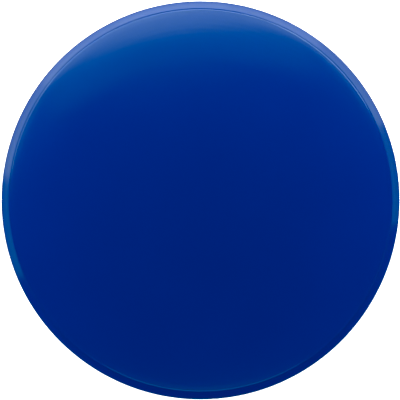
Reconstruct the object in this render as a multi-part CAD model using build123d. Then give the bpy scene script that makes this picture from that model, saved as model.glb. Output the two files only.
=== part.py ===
from build123d import *
import math
import os

# Ice hockey puck of moulded rubber, in millimetres. +Z runs up through the two faces, and the
# origin is the centre of the lower face. The puck is one moulding: a disc whose two faces roll
# off a little towards a bevelled rim, and a side wall with a grip band of raised diamonds
# between two smooth shoulders.

# Driving dimensions
DIAMETER = 76.2                 # 3 in, over the shoulders
THICKNESS = 25.4                # 1 in, over the flat middles of the two faces
FLAT_RADIUS = 26.0              # the middle of each face is flat out to here
ROLL_OFF_ANGLE = 4.0            # degrees that a face has turned down by where it meets the bevel
BEVEL_WIDTH = 1.73              # seen from above
BEVEL_ANGLE = 34.0              # degrees down from the face
INNER_ROUND = 0.7               # round between the face and the bevel
OUTER_ROUND = 0.5               # round between the bevel and the side wall
BAND_HALF_HEIGHT = 8.8          # the grip band runs this far above and below mid height
GROOVE_DEPTH = 0.5              # from the shoulders down to where two grooves cross
CREST_RECESS = 0.1              # the flat tops of the diamonds stop this far inside the shoulders
CREST_SHARE = 0.62              # width of a diamond's flat top, as a share of its foot
DIAMONDS_ROUND = 60             # diamonds in one ring
HALF_ROWS = 4                   # rings of diamonds from mid height to an end of the band

# Sizes that follow
RADIUS = DIAMETER / 2
MID_HEIGHT = THICKNESS / 2
RIM_RADIUS = RADIUS - BEVEL_WIDTH
GROOVE_RADIUS = RADIUS - GROOVE_DEPTH
CREST_DISTANCE = RADIUS - CREST_RECESS
ROLL_OFF_RADIUS = (RIM_RADIUS - FLAT_RADIUS) / math.sin(math.radians(ROLL_OFF_ANGLE))
ROLL_OFF_DROP = ROLL_OFF_RADIUS * (1 - math.cos(math.radians(ROLL_OFF_ANGLE)))
BEVEL_DROP = BEVEL_WIDTH * math.tan(math.radians(BEVEL_ANGLE))
ROW_PITCH = BAND_HALF_HEIGHT / HALF_ROWS
COLUMN_ANGLE = 360 / DIAMONDS_ROUND


def rounded(section, corner, radius):
    """The section with its corner at that point rounded."""
    vertex = section.vertices().sort_by_distance((corner[0], corner[1], 0))[0]
    return fillet(vertex, radius)


def cap():
    """The turned upper end, from the top of the grip band to the upper face. Mid height is z = 0."""
    flat_end = (FLAT_RADIUS, MID_HEIGHT)
    rim = (RIM_RADIUS, MID_HEIGHT - ROLL_OFF_DROP)
    shoulder = (RADIUS, MID_HEIGHT - ROLL_OFF_DROP - BEVEL_DROP)
    ledge = (RADIUS, BAND_HALF_HEIGHT)
    axis_foot = (0, BAND_HALF_HEIGHT)
    outline = [
        Polyline(rim, shoulder, ledge, axis_foot, (0, MID_HEIGHT), flat_end),
        TangentArc(flat_end, rim, tangent=(1, 0)),
    ]
    section = make_face(outline)
    section = rounded(section, rim, INNER_ROUND)
    section = rounded(section, shoulder, OUTER_ROUND)
    return revolve(Plane.XZ * section, Axis.Z)


def diamond_corners():
    """Corners of the diamond on the +X axis: side foot, upper foot, side crest and upper crest.

    The crest is flat and upright. Its upper corner is placed so that each flank is flat too.
    """
    half_turn = math.radians(COLUMN_ANGLE / 2)
    side_foot = Vector(GROOVE_RADIUS * math.cos(half_turn), GROOVE_RADIUS * math.sin(half_turn), 0)
    upper_foot = Vector(GROOVE_RADIUS, 0, ROW_PITCH)
    side_crest = Vector(CREST_DISTANCE, side_foot.Y * CREST_SHARE, 0)
    normal = (upper_foot - side_foot).cross(side_crest - side_foot)
    crest_rise = (normal.Y * side_foot.Y - normal.X * (CREST_DISTANCE - side_foot.X)) / normal.Z
    upper_crest = Vector(CREST_DISTANCE, 0, crest_rise)
    return side_foot, upper_foot, side_crest, upper_crest


def facet(*corners):
    """A flat face with these corners."""
    return Face(Wire.make_polygon(corners, close=True))


def across(point):
    """The same point on the other side of the diamond's upright centre line."""
    return Vector(point.X, -point.Y, point.Z)


def half_diamond():
    """The upper half of the diamond on the +X axis: two flanks and half the crest."""
    side_foot, upper_foot, side_crest, upper_crest = diamond_corners()
    flank = facet(side_foot, upper_foot, upper_crest, side_crest)
    crest = facet(side_crest, upper_crest, across(side_crest))
    return [flank, mirror(flank, Plane.XZ), crest]


def turn_of(column, row):
    """Degrees round to a diamond. Alternate rings are set half a diamond round."""
    return (column + (row % 2) / 2) * COLUMN_ANGLE


def band_end(row):
    """The flat end of the grip band, cut through the widest points of that row's diamonds."""
    side_foot, _, side_crest, _ = diamond_corners()
    lift = Vector(0, 0, row * ROW_PITCH)
    corners = []
    for column in range(DIAMONDS_ROUND):
        for point in (across(side_foot), across(side_crest), side_crest):
            corners.append(point.rotate(Axis.Z, turn_of(column, row)) + lift)
    return facet(*corners)


def grip_band():
    """The middle of the puck: a solid whose side wall is all diamonds, groove to groove."""
    upper_half = half_diamond()
    lower_half = [mirror(face, Plane.XY) for face in upper_half]
    faces = [band_end(-HALF_ROWS), band_end(HALF_ROWS)]
    for row in range(-HALF_ROWS, HALF_ROWS + 1):
        halves = []
        if row < HALF_ROWS:
            halves += upper_half
        if row > -HALF_ROWS:
            halves += lower_half
        for column in range(DIAMONDS_ROUND):
            place = Pos(0, 0, row * ROW_PITCH) * Rot(0, 0, turn_of(column, row))
            faces += [place * face for face in halves]
    return Solid(Shell(faces))


def puck():
    """The whole moulding, standing on its lower face."""
    upper = cap()
    lower = mirror(upper, Plane.XY)
    return Pos(0, 0, MID_HEIGHT) * (upper + grip_band() + lower)


if __name__ == "__main__":
    os.makedirs("parts", exist_ok=True)
    export_step(puck(), "parts/puck_body.step")
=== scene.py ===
import math

import bpy
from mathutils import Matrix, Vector


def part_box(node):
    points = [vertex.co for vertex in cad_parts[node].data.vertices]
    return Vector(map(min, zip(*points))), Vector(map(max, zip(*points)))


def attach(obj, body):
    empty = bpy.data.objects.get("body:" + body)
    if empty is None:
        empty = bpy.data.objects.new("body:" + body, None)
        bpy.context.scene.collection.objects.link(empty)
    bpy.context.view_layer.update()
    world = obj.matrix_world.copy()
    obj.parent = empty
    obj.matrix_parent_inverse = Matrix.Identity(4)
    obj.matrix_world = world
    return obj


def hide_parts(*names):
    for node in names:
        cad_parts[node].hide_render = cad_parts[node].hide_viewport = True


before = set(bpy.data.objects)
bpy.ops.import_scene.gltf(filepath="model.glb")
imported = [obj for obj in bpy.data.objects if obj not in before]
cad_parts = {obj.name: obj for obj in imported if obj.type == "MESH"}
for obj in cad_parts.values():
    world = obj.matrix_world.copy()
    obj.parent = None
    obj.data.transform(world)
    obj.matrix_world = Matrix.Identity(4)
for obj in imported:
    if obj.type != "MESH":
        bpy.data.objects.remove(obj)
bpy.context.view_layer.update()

# A blue ice hockey puck of moulded rubber, in metres. +Z runs up through its two faces, and it
# stands on the floor at z = 0. The visible puck is one mesh: turned ends, and between them a
# grip band of raised diamonds whose edges are softened as a mould leaves them.

MM = 0.001
MICRON = 0.000001

# Sizes taken from the frame
LOW, HIGH = (Vector(corner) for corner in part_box("puck_body"))
RADIUS = (HIGH.x - LOW.x) / 2
THICKNESS = HIGH.z - LOW.z
MID_HEIGHT = (HIGH.z + LOW.z) / 2

# Turned ends
FLAT_RADIUS = 26.0 * MM
ROLL_OFF_ANGLE = math.radians(4.0)
BEVEL_WIDTH = 1.73 * MM
BEVEL_ANGLE = math.radians(34.0)
INNER_ROUND = 0.7 * MM
OUTER_ROUND = 0.5 * MM

# Grip band
BAND_HALF_HEIGHT = 8.8 * MM
BAND_RUN_OUT = 0.6 * MM         # the grooves fade out over this height above and below the band
GROOVE_DEPTH = 0.5 * MM
CREST_RECESS = 0.1 * MM
CREST_SHARE = 0.62
DIAMONDS_ROUND = 60
HALF_ROWS = 4

# Rubber: its colour and gloss
BLUE = (0.0, 0.0036, 0.05)
REFLECTION_TINT = (0.55, 0.78, 1, 1)
RUBBER_IOR = 1.5
END_ROUGHNESS = 0.16
BAND_ROUGHNESS = 0.36
END_ROUGHNESS_SPREAD = 0.012
BAND_ROUGHNESS_SPREAD = 0.08

# Rubber: uneven pigment, and painted shade in the grooves, as shares of the colour
BLOTCH_SIZE = 14 * MM
BLOTCH_SHADE = 0.05
MOTTLE_SIZE = 1.1 * MM
MOTTLE_SHADE = 0.035
# painted shade: the colour is darkened down in the grooves, where shade falls
GROOVE_PAINTED_SHADE = -0.45

# Rubber: fine relief
PEEL_SIZE = 1.6 * MM            # slight waviness of the polished ends
PEEL_HEIGHT = 1.5 * MICRON
RING_PITCH = 0.9 * MM           # turning marks that the mould leaves on the ends
RING_HEIGHT = 0.4 * MICRON
GRAIN_SIZE = 0.4 * MM           # grain of the grip band
GRAIN_HEIGHT = 6 * MICRON
PARTING_HALF_WIDTH = 0.13 * MM  # the thin ridge where the two halves of the mould meet
PARTING_HEIGHT = 25 * MICRON

# Floor: pale paper
FLOOR_SIDE = 3.0
FLOOR_SHADE = 0.8
FLOOR_ROUGHNESS = 0.9
FLOOR_GLOW = 0.45
FIBRE_SIZE = 0.5 * MM
FIBRE_SHADE = 0.03
FIBRE_HEIGHT = 8 * MICRON
CLOUD_SIZE = 30 * MM
CLOUD_SHADE = 0.02
CLOUD_ROUGHNESS = 0.05

# Light. Lamps are placed round the middle of the upper face, and azimuth 90 is behind the puck.
LAMP_DISTANCE = 0.18
STRIP_HEIGHT = 0.025
LOW_RING_MIDDLE = 98            # azimuth at which the low ring is brightest
LOW_RING_REACH = 90             # degrees to each side of it
LOW_RING_STEP = 30
LOW_RING_RADIANCE = 5.9
LOW_RING_FALL = 0.85            # degrees of the cosine for each degree round the ring
RIM_FILL_STEP = 45
RIM_FILL_FRONT = 4.0            # radiance in front of the puck
RIM_FILL_BACK = 14.0            # radiance behind it
STUDIO_GREY = 0.85

# Camera, straight above the puck
LENS = 100.0                    # focal length and sensor width, in millimetres
SENSOR_WIDTH = 36.0
NEAREST_SEEN = 0.01
OUTLINE_DEPTH = 1.8 * MM        # the outline is the top of the side wall, this far below the face
OUTLINE_SHARE = 0.9963          # its radius as a share of half the width of the picture
SHIFT_ACROSS = -0.0013          # these put the puck just right of and just below the middle
SHIFT_UP = 0.0008

# Colours of the picture
RED_CUT = 0.04                  # red at or below this comes out as none

# Mesh lines across one diamond, as shares of its width: close together on the flanks
DIAMOND_LINES = (-0.5, -0.45, -0.38, -0.31, -0.22, 0.0, 0.22, 0.31, 0.38, 0.45)
LINES = len(DIAMOND_LINES)
COLUMNS = DIAMONDS_ROUND * LINES

# Mesh rings elsewhere
RUN_OUT_STEPS = 4
ROLL_OFF_STEPS = 7
ROUND_STEPS = 6
FACE_RING_SHARES = (0.25, 0.5, 0.75)


def smooth(x):
    """An S-shaped ramp from 0 to 1."""
    x = min(max(x, 0.0), 1.0)
    return x * x * (3 - 2 * x)


def line_place(index):
    """Where a mesh line lies, counted in diamonds."""
    return index // LINES + 0.5 + DIAMOND_LINES[index % LINES]


def crest_share(place):
    """1 on the top of a diamond, 0 in a groove, at a place counted in diamonds."""
    to_groove = 0.5 - abs((place - 0.5) % 1 - 0.5)
    return smooth(to_groove / (0.5 * (1 - CREST_SHARE)))


def band_point(first, second):
    """A point of the grip band where two mesh lines cross, one along each family of grooves."""
    first_place = line_place(first)
    second_place = line_place(second)
    angle = math.pi * (first_place + second_place) / DIAMONDS_ROUND
    height = (first_place - second_place) * BAND_HALF_HEIGHT / HALF_ROWS
    raised = crest_share(first_place) * crest_share(second_place)
    radius = RADIUS - CREST_RECESS - (GROOVE_DEPTH - CREST_RECESS) * (1 - raised)
    return radius, angle, height


def arc(centre, radius, start, end, steps):
    """Points (radius, height) round an arc whose outward normal leans from start to end."""
    points = []
    for step in range(steps + 1):
        lean = start + (end - start) * step / steps
        points.append((centre[0] + radius * math.sin(lean), centre[1] + radius * math.cos(lean)))
    return points


def end_profile():
    """The turned upper end, from its shoulder to near the axis, as (radius, height above middle)."""
    half = THICKNESS / 2
    rim = RADIUS - BEVEL_WIDTH
    roll_off = (rim - FLAT_RADIUS) / math.sin(ROLL_OFF_ANGLE)
    rim_height = half - roll_off * (1 - math.cos(ROLL_OFF_ANGLE))
    shoulder_height = rim_height - BEVEL_WIDTH * math.tan(BEVEL_ANGLE)

    turn = BEVEL_ANGLE - ROLL_OFF_ANGLE
    back = INNER_ROUND * math.tan(turn / 2)
    inner_start = (rim - back * math.cos(ROLL_OFF_ANGLE), rim_height + back * math.sin(ROLL_OFF_ANGLE))
    inner_centre = (
        inner_start[0] - INNER_ROUND * math.sin(ROLL_OFF_ANGLE),
        inner_start[1] - INNER_ROUND * math.cos(ROLL_OFF_ANGLE),
    )
    quarter = math.pi / 2
    drop = OUTER_ROUND * math.tan((quarter - BEVEL_ANGLE) / 2)
    outer_centre = (RADIUS - OUTER_ROUND, shoulder_height - drop)
    roll_off_centre = (FLAT_RADIUS, half - roll_off)
    roll_off_end = math.asin((inner_start[0] - FLAT_RADIUS) / roll_off)

    points = [(FLAT_RADIUS * share, half) for share in FACE_RING_SHARES]
    points += arc(roll_off_centre, roll_off, 0, roll_off_end, ROLL_OFF_STEPS)[:-1]
    points += arc(inner_centre, INNER_ROUND, ROLL_OFF_ANGLE, BEVEL_ANGLE, ROUND_STEPS)
    points += arc(outer_centre, OUTER_ROUND, BEVEL_ANGLE, quarter, ROUND_STEPS)
    points += [(RADIUS, BAND_HALF_HEIGHT + BAND_RUN_OUT)]
    return points[::-1]


def puck_mesh():
    """The whole surface: the grip band, its run-out into each shoulder, and the turned ends."""
    vertices = []
    faces = []
    reach = HALF_ROWS * LINES

    def add(radius, angle, height):
        vertices.append((radius * math.cos(angle), radius * math.sin(angle), MID_HEIGHT + height))
        return len(vertices) - 1

    grid = {}
    for first in range(COLUMNS):
        for gap in range(-reach, reach + 1):
            grid[first, gap] = add(*band_point(first, first - gap))

    def at(first, second):
        gap = first - second
        return grid[first % COLUMNS, gap] if abs(gap) <= reach else None

    for first in range(COLUMNS):
        for gap in range(-reach, reach + 1):
            second = first - gap
            corners = [
                at(first, second),
                at(first + 1, second),
                at(first + 1, second + 1),
                at(first, second + 1),
            ]
            faces.append([corner for corner in corners if corner is not None][::-1])

    for side in (1, -1):
        edge = [(first, side * reach) for first in range(COLUMNS)]
        ring = [grid[key] for key in edge]
        angles = []
        depths = []
        for first, gap in edge:
            radius, angle, _ = band_point(first, first - gap)
            angles.append(angle)
            depths.append(RADIUS - radius)
        rings = [ring]
        for step in range(1, RUN_OUT_STEPS):
            share = step / RUN_OUT_STEPS
            height = side * (BAND_HALF_HEIGHT + BAND_RUN_OUT * share)
            left = 1 - smooth(share)
            places = zip(depths, angles)
            rings.append([add(RADIUS - depth * left, angle, height) for depth, angle in places])
        for radius, height in end_profile():
            rings.append([add(radius, angle, side * height) for angle in angles])
        for lower, upper in zip(rings, rings[1:]):
            for index in range(COLUMNS):
                after = (index + 1) % COLUMNS
                quad = [lower[index], lower[after], upper[after], upper[index]]
                faces.append(quad if side > 0 else quad[::-1])
        centre = add(0, 0, side * THICKNESS / 2)
        last = rings[-1]
        for index in range(COLUMNS):
            after = (index + 1) % COLUMNS
            fan = [last[index], last[after], centre]
            faces.append(fan if side > 0 else fan[::-1])
    return vertices, faces


def wire(tree, socket, value):
    """Feeds an input from another node's output, or sets it to a number."""
    if isinstance(value, bpy.types.NodeSocket):
        tree.links.new(value, socket)
    else:
        socket.default_value = value


def calculate(tree, operation, *values):
    """A Math node."""
    made = tree.nodes.new("ShaderNodeMath")
    made.operation = operation
    for socket, value in zip(made.inputs, values):
        wire(tree, socket, value)
    return made.outputs["Value"]


def total(tree, *values):
    """The sum of any number of values."""
    result = values[0]
    for value in values[1:]:
        result = calculate(tree, "ADD", result, value)
    return result


def ramp(tree, value, start, end):
    """An S-shaped ramp: 0 at start, and 1 at end."""
    made = tree.nodes.new("ShaderNodeMapRange")
    made.interpolation_type = "SMOOTHSTEP"
    wire(tree, made.inputs["Value"], value)
    wire(tree, made.inputs["From Min"], start)
    wire(tree, made.inputs["From Max"], end)
    return made.outputs["Result"]


def mix(tree, share, first, second):
    """A value between first and second."""
    made = tree.nodes.new("ShaderNodeMix")
    wire(tree, made.inputs["Factor"], share)
    wire(tree, made.inputs["A"], first)
    wire(tree, made.inputs["B"], second)
    return made.outputs["Result"]


def grain(tree, place, size, detail=2.0):
    """Noise from -1 to 1 about 0, with lumps of the given size."""
    made = tree.nodes.new("ShaderNodeTexNoise")
    wire(tree, made.inputs["Vector"], place)
    made.inputs["Scale"].default_value = 1 / size
    made.inputs["Detail"].default_value = detail
    return calculate(tree, "MULTIPLY_ADD", made.outputs["Fac"], 2.0, -1.0)


def scaled(tree, value, factor):
    """A value times a factor."""
    return calculate(tree, "MULTIPLY", value, factor)


def add_relief(tree, shader, height):
    """Bends the shading by a height in metres."""
    bump = tree.nodes.new("ShaderNodeBump")
    bump.inputs["Strength"].default_value = 1.0
    bump.inputs["Distance"].default_value = 1.0
    tree.links.new(height, bump.inputs["Height"])
    tree.links.new(bump.outputs["Normal"], shader.inputs["Normal"])


def distances(tree, place):
    """Two values at each point: how far it is from the axis, and from mid height."""
    parts = tree.nodes.new("ShaderNodeSeparateXYZ")
    tree.links.new(place, parts.inputs[0])
    flat_place = tree.nodes.new("ShaderNodeCombineXYZ")
    tree.links.new(parts.outputs["X"], flat_place.inputs["X"])
    tree.links.new(parts.outputs["Y"], flat_place.inputs["Y"])
    length = tree.nodes.new("ShaderNodeVectorMath")
    length.operation = "LENGTH"
    tree.links.new(flat_place.outputs[0], length.inputs[0])
    offset = calculate(tree, "SUBTRACT", parts.outputs["Z"], MID_HEIGHT)
    return length.outputs["Value"], calculate(tree, "ABSOLUTE", offset)


def blue_rubber():
    """Moulded rubber: polished turned ends, and a grip band left as grainy as its mould."""
    material = bpy.data.materials.new("blue_rubber")
    material.use_nodes = True
    tree = material.node_tree
    shader = tree.nodes["Principled BSDF"]
    place = tree.nodes.new("ShaderNodeTexCoord").outputs["Object"]
    from_axis, from_middle = distances(tree, place)

    # Where the surface is: on the grip band, down in its grooves, or on the parting line
    band = ramp(tree, from_middle, BAND_HALF_HEIGHT + BAND_RUN_OUT, BAND_HALF_HEIGHT)
    groove = ramp(tree, from_axis, RADIUS - CREST_RECESS, RADIUS - GROOVE_DEPTH)
    band_groove = calculate(tree, "MULTIPLY", band, groove)
    parting = ramp(tree, from_middle, PARTING_HALF_WIDTH, 0.0)

    blotches = grain(tree, place, BLOTCH_SIZE, 3.0)
    mottle = grain(tree, place, MOTTLE_SIZE)
    peel = grain(tree, place, PEEL_SIZE, 1.0)
    band_grain = grain(tree, place, GRAIN_SIZE)
    rings = calculate(tree, "SINE", scaled(tree, from_axis, 2 * math.pi / RING_PITCH))

    # Colour: the pigment is a little uneven, and painted shade darkens it down in the grooves
    brightness = total(
        tree,
        1.0,
        scaled(tree, blotches, BLOTCH_SHADE),
        scaled(tree, mottle, MOTTLE_SHADE),
        # painted shade down in the grooves
        scaled(tree, band_groove, GROOVE_PAINTED_SHADE),
    )
    colour = tree.nodes.new("ShaderNodeVectorMath")
    colour.operation = "SCALE"
    colour.inputs[0].default_value = BLUE
    tree.links.new(brightness, colour.inputs["Scale"])
    tree.links.new(colour.outputs["Vector"], shader.inputs["Base Color"])

    end_roughness = total(
        tree,
        END_ROUGHNESS,
        scaled(tree, blotches, END_ROUGHNESS_SPREAD),
        scaled(tree, mottle, END_ROUGHNESS_SPREAD),
    )
    band_roughness = total(
        tree,
        BAND_ROUGHNESS,
        scaled(tree, band_grain, BAND_ROUGHNESS_SPREAD),
        scaled(tree, band_groove, BAND_ROUGHNESS_SPREAD),
    )
    tree.links.new(mix(tree, band, end_roughness, band_roughness), shader.inputs["Roughness"])

    end_relief = total(tree, scaled(tree, peel, PEEL_HEIGHT), scaled(tree, rings, RING_HEIGHT))
    band_relief = total(
        tree,
        scaled(tree, band_grain, GRAIN_HEIGHT),
        scaled(tree, parting, PARTING_HEIGHT),
    )
    add_relief(tree, shader, mix(tree, band, end_relief, band_relief))

    shader.inputs["IOR"].default_value = RUBBER_IOR
    shader.inputs["Specular Tint"].default_value = REFLECTION_TINT
    return material


def make_puck():
    """The visible puck, which takes the place of the plain one."""
    vertices, faces = puck_mesh()
    mesh = bpy.data.meshes.new("puck")
    mesh.from_pydata(vertices, [], faces)
    mesh.validate()
    mesh.update()
    mesh.polygons.foreach_set("use_smooth", [True] * len(mesh.polygons))
    mesh.materials.append(blue_rubber())
    puck = bpy.data.objects.new("puck", mesh)
    bpy.context.scene.collection.objects.link(puck)
    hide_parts("puck_body")
    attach(puck, "root")


def floor_paper():
    """Pale paper with fine fibres and faint clouds. It glows a little, which keeps it white."""
    material = bpy.data.materials.new("floor_paper")
    material.use_nodes = True
    tree = material.node_tree
    shader = tree.nodes["Principled BSDF"]
    place = tree.nodes.new("ShaderNodeTexCoord").outputs["Object"]
    fibres = grain(tree, place, FIBRE_SIZE)
    clouds = grain(tree, place, CLOUD_SIZE)
    shade = total(
        tree,
        FLOOR_SHADE,
        scaled(tree, fibres, FIBRE_SHADE),
        scaled(tree, clouds, CLOUD_SHADE),
    )
    tree.links.new(shade, shader.inputs["Base Color"])
    roughness = total(tree, FLOOR_ROUGHNESS, scaled(tree, clouds, CLOUD_ROUGHNESS))
    tree.links.new(roughness, shader.inputs["Roughness"])
    add_relief(tree, shader, scaled(tree, fibres, FIBRE_HEIGHT))
    shader.inputs["Emission Color"].default_value = (1, 1, 1, 1)
    shader.inputs["Emission Strength"].default_value = FLOOR_GLOW
    return material


def make_floor():
    """A square of paper, level with the lower face."""
    mesh = bpy.data.meshes.new("floor")
    half = FLOOR_SIDE / 2
    corners = [(-half, -half, 0), (half, -half, 0), (half, half, 0), (-half, half, 0)]
    mesh.from_pydata(corners, [], [(0, 1, 2, 3)])
    mesh.materials.append(floor_paper())
    floor = bpy.data.objects.new("floor", mesh)
    bpy.context.scene.collection.objects.link(floor)


def softbox(name, azimuth, zenith, width, height, radiance, distance=LAMP_DISTANCE):
    """A white area light aimed at the puck's upper face, placed by angles as seen from there."""
    target = Vector((0, 0, HIGH.z))
    around = math.radians(azimuth)
    down = math.radians(zenith)
    outwards = math.sin(down)
    upwards = math.cos(down)
    direction = Vector((math.cos(around) * outwards, math.sin(around) * outwards, upwards))
    light = bpy.data.lights.new(name, "AREA")
    light.shape = "RECTANGLE"
    light.size = width
    light.size_y = height
    light.energy = radiance * math.pi * width * height
    lamp = bpy.data.objects.new(name, light)
    lamp.location = target + direction * distance
    lamp.rotation_euler = direction.to_track_quat("Z", "Y").to_euler()
    lamp.visible_camera = False
    bpy.context.scene.collection.objects.link(lamp)
    return lamp


def strip_lamps():
    """A bank of strips behind the puck, for the gradient on its face, and one strip in front."""
    softbox("back_strip", azimuth=102, zenith=37, width=0.2, height=STRIP_HEIGHT, radiance=17.0)
    softbox("right_back_strip", azimuth=46, zenith=37, width=0.065, height=STRIP_HEIGHT, radiance=20.0)
    softbox("left_back_strip", azimuth=156, zenith=37, width=0.06, height=STRIP_HEIGHT, radiance=12.0)
    softbox("back_upper", azimuth=100, zenith=28, width=0.16, height=STRIP_HEIGHT, radiance=3.4)
    softbox("back_top", azimuth=100, zenith=20, width=0.12, height=0.03, radiance=0.9)
    softbox("front_strip", azimuth=-90, zenith=36, width=0.12, height=0.02, radiance=4.6)


def low_ring():
    """Half a ring of low lamps for the bevel. It is brightest behind the puck."""
    for turn in range(-LOW_RING_REACH, LOW_RING_REACH + 1, LOW_RING_STEP):
        azimuth = LOW_RING_MIDDLE + turn
        radiance = LOW_RING_RADIANCE * math.cos(math.radians(LOW_RING_FALL * turn))
        softbox(f"low_{azimuth}", azimuth, zenith=80, width=0.096, height=0.028, radiance=radiance)


def fill_lamps():
    """Lamps that show as a glow in the blue, and not as reflections.

    A ring of them stands close above the rim, and two are level with the side wall.
    """
    fills = []
    rim = {"zenith": 68, "distance": 0.065, "width": 0.06, "height": 0.02}
    wall = {"zenith": 88, "distance": 0.25, "width": 0.12, "height": 0.04}
    for azimuth in range(RIM_FILL_STEP - 180, 181, RIM_FILL_STEP):
        towards_back = (1 + math.sin(math.radians(azimuth))) / 2
        radiance = RIM_FILL_FRONT + (RIM_FILL_BACK - RIM_FILL_FRONT) * towards_back
        fills.append(softbox(f"rim_fill_{azimuth}", azimuth, radiance=radiance, **rim))
    fills.append(softbox("left_wall_fill", azimuth=-135, radiance=30.0, **wall))
    fills.append(softbox("right_wall_fill", azimuth=-30, radiance=20.0, **wall))
    for fill in fills:
        fill.visible_glossy = False


def make_world():
    """A grey room that lights the puck but isn't mirrored in it. The red makes up for RED_CUT."""
    world = bpy.data.worlds.new("studio")
    world.use_nodes = True
    red = RED_CUT + (1 - RED_CUT) * STUDIO_GREY
    background = world.node_tree.nodes["Background"]
    background.inputs["Color"].default_value = (red, STUDIO_GREY, STUDIO_GREY, 1)
    world.cycles_visibility.glossy = False
    bpy.context.scene.world = world


def make_camera():
    """A camera straight above the puck, at the height that gives its outline the right size."""
    data = bpy.data.cameras.new("camera")
    data.lens = LENS
    data.sensor_width = SENSOR_WIDTH
    data.clip_start = NEAREST_SEEN
    data.shift_x = SHIFT_ACROSS
    data.shift_y = SHIFT_UP
    camera = bpy.data.objects.new("camera", data)
    above_outline = RADIUS / OUTLINE_SHARE * LENS / (SENSOR_WIDTH / 2)
    camera.location = (0, 0, HIGH.z - OUTLINE_DEPTH + above_outline)
    bpy.context.scene.collection.objects.link(camera)
    bpy.context.scene.camera = camera


def set_colours():
    """Plain colours, but with the faintest reds cut off, which keeps the blue deep."""
    settings = bpy.context.scene.view_settings
    settings.view_transform = "Standard"
    settings.use_curve_mapping = True
    settings.curve_mapping.black_level = (RED_CUT, 0.0, 0.0)
    settings.curve_mapping.update()


make_puck()
make_floor()
strip_lamps()
low_ring()
fill_lamps()
make_world()
make_camera()
set_colours()
